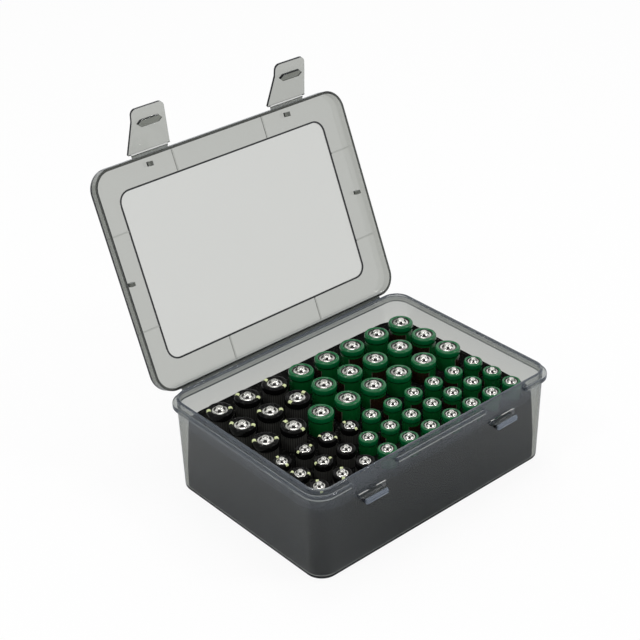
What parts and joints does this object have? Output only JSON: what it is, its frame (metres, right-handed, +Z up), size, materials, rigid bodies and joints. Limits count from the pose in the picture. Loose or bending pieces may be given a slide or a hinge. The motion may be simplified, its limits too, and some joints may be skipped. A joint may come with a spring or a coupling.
{
  "type": "battery storage case",
  "caption": "Hinged, latched storage case in smoke-grey plastic with a black cell tray holding upright AA and AAA cells; lid, latches, tray and cells move.",
  "frame": {"origin": "centre of the base's underside", "axes": "+X along the long side, towards the right-hand end; -Y towards the latch side, +Y towards the hinge; +Z up"},
  "size_m": [0.165, 0.1732, 0.1887],
  "materials": {
    "case_plastic": "smoke-grey translucent polypropylene, satin with a soft gloss",
    "tray_plastic": "matt black moulding",
    "jacket_black": "steel can in a glossy black foil sleeve",
    "jacket_green": "steel can in a glossy green foil sleeve",
    "cell_metal": "bright nickel-plated steel"
  },
  "bodies": {
    "base": {"base_shell": "case_plastic", "hinge_web_base_side": "case_plastic"},
    "tray": {"cell_tray": "tray_plastic"},
    "lid": {"lid_shell": "case_plastic", "hinge_web_lid_side": "case_plastic", "latch_left_web": "case_plastic", "latch_right_web": "case_plastic"},
    "latch_left": {"latch_left": "case_plastic"},
    "latch_right": {"latch_right": "case_plastic"},
    "aa_rear_black": {"aa_rear_black_jackets": "jacket_black", "aa_rear_black_caps": "cell_metal"},
    "aa_rear_green": {"aa_rear_green_jackets": "jacket_green", "aa_rear_green_caps": "cell_metal"},
    "aa_middle_black": {"aa_middle_black_jackets": "jacket_black", "aa_middle_black_caps": "cell_metal"},
    "aa_middle_green": {"aa_middle_green_jackets": "jacket_green", "aa_middle_green_caps": "cell_metal"},
    "aa_front_black": {"aa_front_black_jackets": "jacket_black", "aa_front_black_caps": "cell_metal"},
    "aa_front_green": {"aa_front_green_jackets": "jacket_green", "aa_front_green_caps": "cell_metal"},
    "aaa_rear_black": {"aaa_rear_black_jackets": "jacket_black", "aaa_rear_black_caps": "cell_metal"},
    "aaa_rear_green": {"aaa_rear_green_jackets": "jacket_green", "aaa_rear_green_caps": "cell_metal"},
    "aaa_middle_black": {"aaa_middle_black_jackets": "jacket_black", "aaa_middle_black_caps": "cell_metal"},
    "aaa_middle_green": {"aaa_middle_green_jackets": "jacket_green", "aaa_middle_green_caps": "cell_metal"},
    "aaa_front_black": {"aaa_front_black_jackets": "jacket_black", "aaa_front_black_caps": "cell_metal"},
    "aaa_front_green": {"aaa_front_green_jackets": "jacket_green", "aaa_front_green_caps": "cell_metal"}
  },
  "joints": [
    {"name": "lid_hinge", "type": "hinge", "parent": "base", "child": "lid", "pos_m": [0, 0.0604, 0.0519], "axis": [-1, 0, 0], "range_deg": [-112.9, 67.1]},
    {"name": "latch_left_hinge", "type": "hinge", "parent": "lid", "child": "latch_left", "pos_m": [-0.0455, 0.10737, 0.16309], "axis": [-1, 0, 0], "range_deg": [-61.5, 58.5]},
    {"name": "latch_right_hinge", "type": "hinge", "parent": "lid", "child": "latch_right", "pos_m": [0.0455, 0.10737, 0.16309], "axis": [-1, 0, 0], "range_deg": [-54.5, 65.5]},
    {"name": "tray_lift", "type": "slide", "parent": "base", "child": "tray", "axis": [0, 0, 1], "range_m": [0, 0.056]},
    {"name": "aa_rear_black_lift", "type": "slide", "parent": "tray", "child": "aa_rear_black", "axis": [0, 0, 1], "range_m": [0, 0.041]},
    {"name": "aa_rear_green_lift", "type": "slide", "parent": "tray", "child": "aa_rear_green", "axis": [0, 0, 1], "range_m": [0, 0.041]},
    {"name": "aa_middle_black_lift", "type": "slide", "parent": "tray", "child": "aa_middle_black", "axis": [0, 0, 1], "range_m": [0, 0.041]},
    {"name": "aa_middle_green_lift", "type": "slide", "parent": "tray", "child": "aa_middle_green", "axis": [0, 0, 1], "range_m": [0, 0.041]},
    {"name": "aa_front_black_lift", "type": "slide", "parent": "tray", "child": "aa_front_black", "axis": [0, 0, 1], "range_m": [0, 0.041]},
    {"name": "aa_front_green_lift", "type": "slide", "parent": "tray", "child": "aa_front_green", "axis": [0, 0, 1], "range_m": [0, 0.041]},
    {"name": "aaa_rear_black_lift", "type": "slide", "parent": "tray", "child": "aaa_rear_black", "axis": [0, 0, 1], "range_m": [0, 0.038]},
    {"name": "aaa_rear_green_lift", "type": "slide", "parent": "tray", "child": "aaa_rear_green", "axis": [0, 0, 1], "range_m": [0, 0.038]},
    {"name": "aaa_middle_black_lift", "type": "slide", "parent": "tray", "child": "aaa_middle_black", "axis": [0, 0, 1], "range_m": [0, 0.038]},
    {"name": "aaa_middle_green_lift", "type": "slide", "parent": "tray", "child": "aaa_middle_green", "axis": [0, 0, 1], "range_m": [0, 0.038]},
    {"name": "aaa_front_black_lift", "type": "slide", "parent": "tray", "child": "aaa_front_black", "axis": [0, 0, 1], "range_m": [0, 0.038]},
    {"name": "aaa_front_green_lift", "type": "slide", "parent": "tray", "child": "aaa_front_green", "axis": [0, 0, 1], "range_m": [0, 0.038]}
  ]
}
